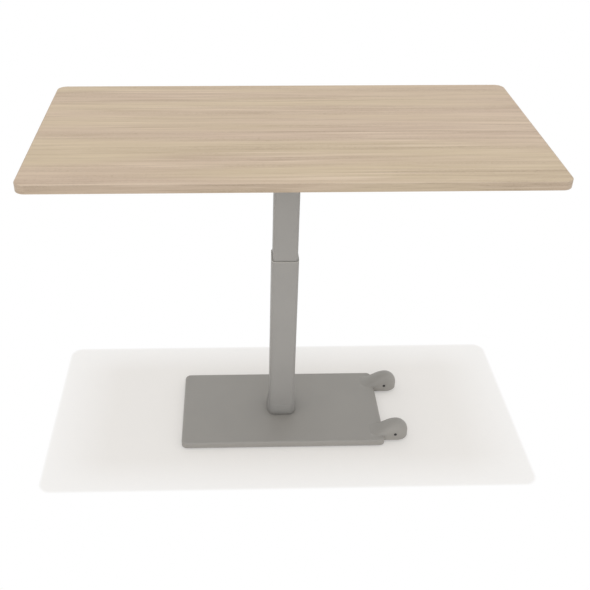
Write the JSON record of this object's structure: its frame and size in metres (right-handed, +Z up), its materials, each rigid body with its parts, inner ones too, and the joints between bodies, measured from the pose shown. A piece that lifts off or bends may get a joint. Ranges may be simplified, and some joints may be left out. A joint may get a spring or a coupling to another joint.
{
  "type": "telescoping pedestal table",
  "caption": "Height-adjustable table: wide rectangular wood-grain worktop on a telescoping square column, with a flat base plate and tip-and-roll wheels at one end.",
  "frame": {"origin": "on the floor, under the column's axis", "axes": "+X along the worktop to the wheel end, +Y from the user's side to the back, +Z up"},
  "size_m": [1.473, 0.737, 1.103],
  "materials": {
    "oak_laminate": "pale oak grain decor, satin",
    "edge_band": "pale oak grain band, satin",
    "board": "raw chipboard",
    "backer_sheet": "matt paper laminate",
    "grey_paint": "fine-textured powder coat, matt",
    "housing_paint": "powder-coated aluminium casting, matt",
    "black_paint": "black powder coat",
    "zinc_steel": "zinc-plated",
    "dark_steel": "blackened",
    "chromed_rod": "polished",
    "grey_plastic": "moulded, matt",
    "black_plastic": "moulded, fine texture",
    "black_rubber": "matt",
    "tyre_rubber": "matt, soft tread"
  },
  "bodies": {
    "base": {"outer_tube": "grey_paint", "mouth_bush": "grey_plastic", "gas_cylinder": "black_paint", "cylinder_gland": "zinc_steel", "rod_seal": "black_rubber", "stud_nut": "zinc_steel", "base_cover": "grey_paint", "ballast_plate": "black_paint", "foot_plate": "black_paint", "foot_collar": "grey_paint", "column_bolts": "zinc_steel", "cover_spacers": "zinc_steel", "housing_screws": "zinc_steel", "wheel_housing_front": "housing_paint", "wheel_axle_front": "dark_steel", "wheel_washers_front": "black_plastic", "wheel_housing_rear": "housing_paint", "wheel_axle_rear": "dark_steel", "wheel_washers_rear": "black_plastic"},
    "lift": {"edge_band": "edge_band", "top_laminate": "oak_laminate", "top_core": "board", "top_backer": "backer_sheet", "wood_screws": "zinc_steel", "head_plate": "black_paint", "inner_tube": "grey_paint", "slide_shoe": "black_plastic", "piston_rod": "chromed_rod", "piston": "zinc_steel", "piston_seal": "black_rubber", "rod_nut": "zinc_steel", "lever_bracket": "black_paint", "lever_pivot_pin": "zinc_steel", "spider_arm_front_left": "black_paint", "spider_arm_front_right": "black_paint", "spider_arm_rear_left": "black_paint", "spider_arm_rear_right": "black_paint"},
    "release_lever": {"release_lever": "black_paint", "lever_grip": "black_plastic", "grip_screws": "zinc_steel"},
    "valve_pin": {"valve_pin": "zinc_steel"},
    "wheel_front": {"wheel_hub_front": "black_plastic", "wheel_tyre_front": "tyre_rubber"},
    "wheel_rear": {"wheel_hub_rear": "black_plastic", "wheel_tyre_rear": "tyre_rubber"},
    "glide_front_left": {"glide_stem_front_left": "zinc_steel", "glide_pad_front_left": "black_plastic"},
    "glide_rear_left": {"glide_stem_rear_left": "zinc_steel", "glide_pad_rear_left": "black_plastic"},
    "glide_front_right": {"glide_stem_front_right": "zinc_steel", "glide_pad_front_right": "black_plastic"},
    "glide_rear_right": {"glide_stem_rear_right": "zinc_steel", "glide_pad_rear_right": "black_plastic"}
  },
  "joints": [
    {"name": "height_slide", "type": "slide", "parent": "base", "child": "lift", "axis": [0, 0, 1], "range_m": [-0.375, 0]},
    {"name": "lever_hinge", "type": "hinge", "parent": "lift", "child": "release_lever", "pos_m": [0, -0.042, 1.0628], "axis": [-1, 0, 0], "range_deg": [0, 3.41], "stiffness_Nm_per_rad": 20, "springref_deg": -2.86},
    {"name": "valve_slide", "type": "slide", "parent": "lift", "child": "valve_pin", "axis": [0, 0, -1], "range_m": [0, 0.0026]},
    {"name": "wheel_front_spin", "type": "hinge", "parent": "base", "child": "wheel_front", "pos_m": [0.393, -0.133, 0.032], "axis": [0, 1, 0], "continuous": true},
    {"name": "wheel_rear_spin", "type": "hinge", "parent": "base", "child": "wheel_rear", "pos_m": [0.393, 0.133, 0.032], "axis": [0, 1, 0], "continuous": true},
    {"name": "glide_front_left_screw", "type": "slide", "parent": "base", "child": "glide_front_left", "axis": [0, 0, -1], "range_m": [0, 0.008]},
    {"name": "glide_rear_left_screw", "type": "slide", "parent": "base", "child": "glide_rear_left", "axis": [0, 0, -1], "range_m": [0, 0.008]},
    {"name": "glide_front_right_screw", "type": "slide", "parent": "base", "child": "glide_front_right", "axis": [0, 0, -1], "range_m": [0, 0.008]},
    {"name": "glide_rear_right_screw", "type": "slide", "parent": "base", "child": "glide_rear_right", "axis": [0, 0, -1], "range_m": [0, 0.008]}
  ],
  "couplings": [
    {"joint": "valve_slide", "follows": "lever_hinge", "m_per_rad": 0.042}
  ]
}
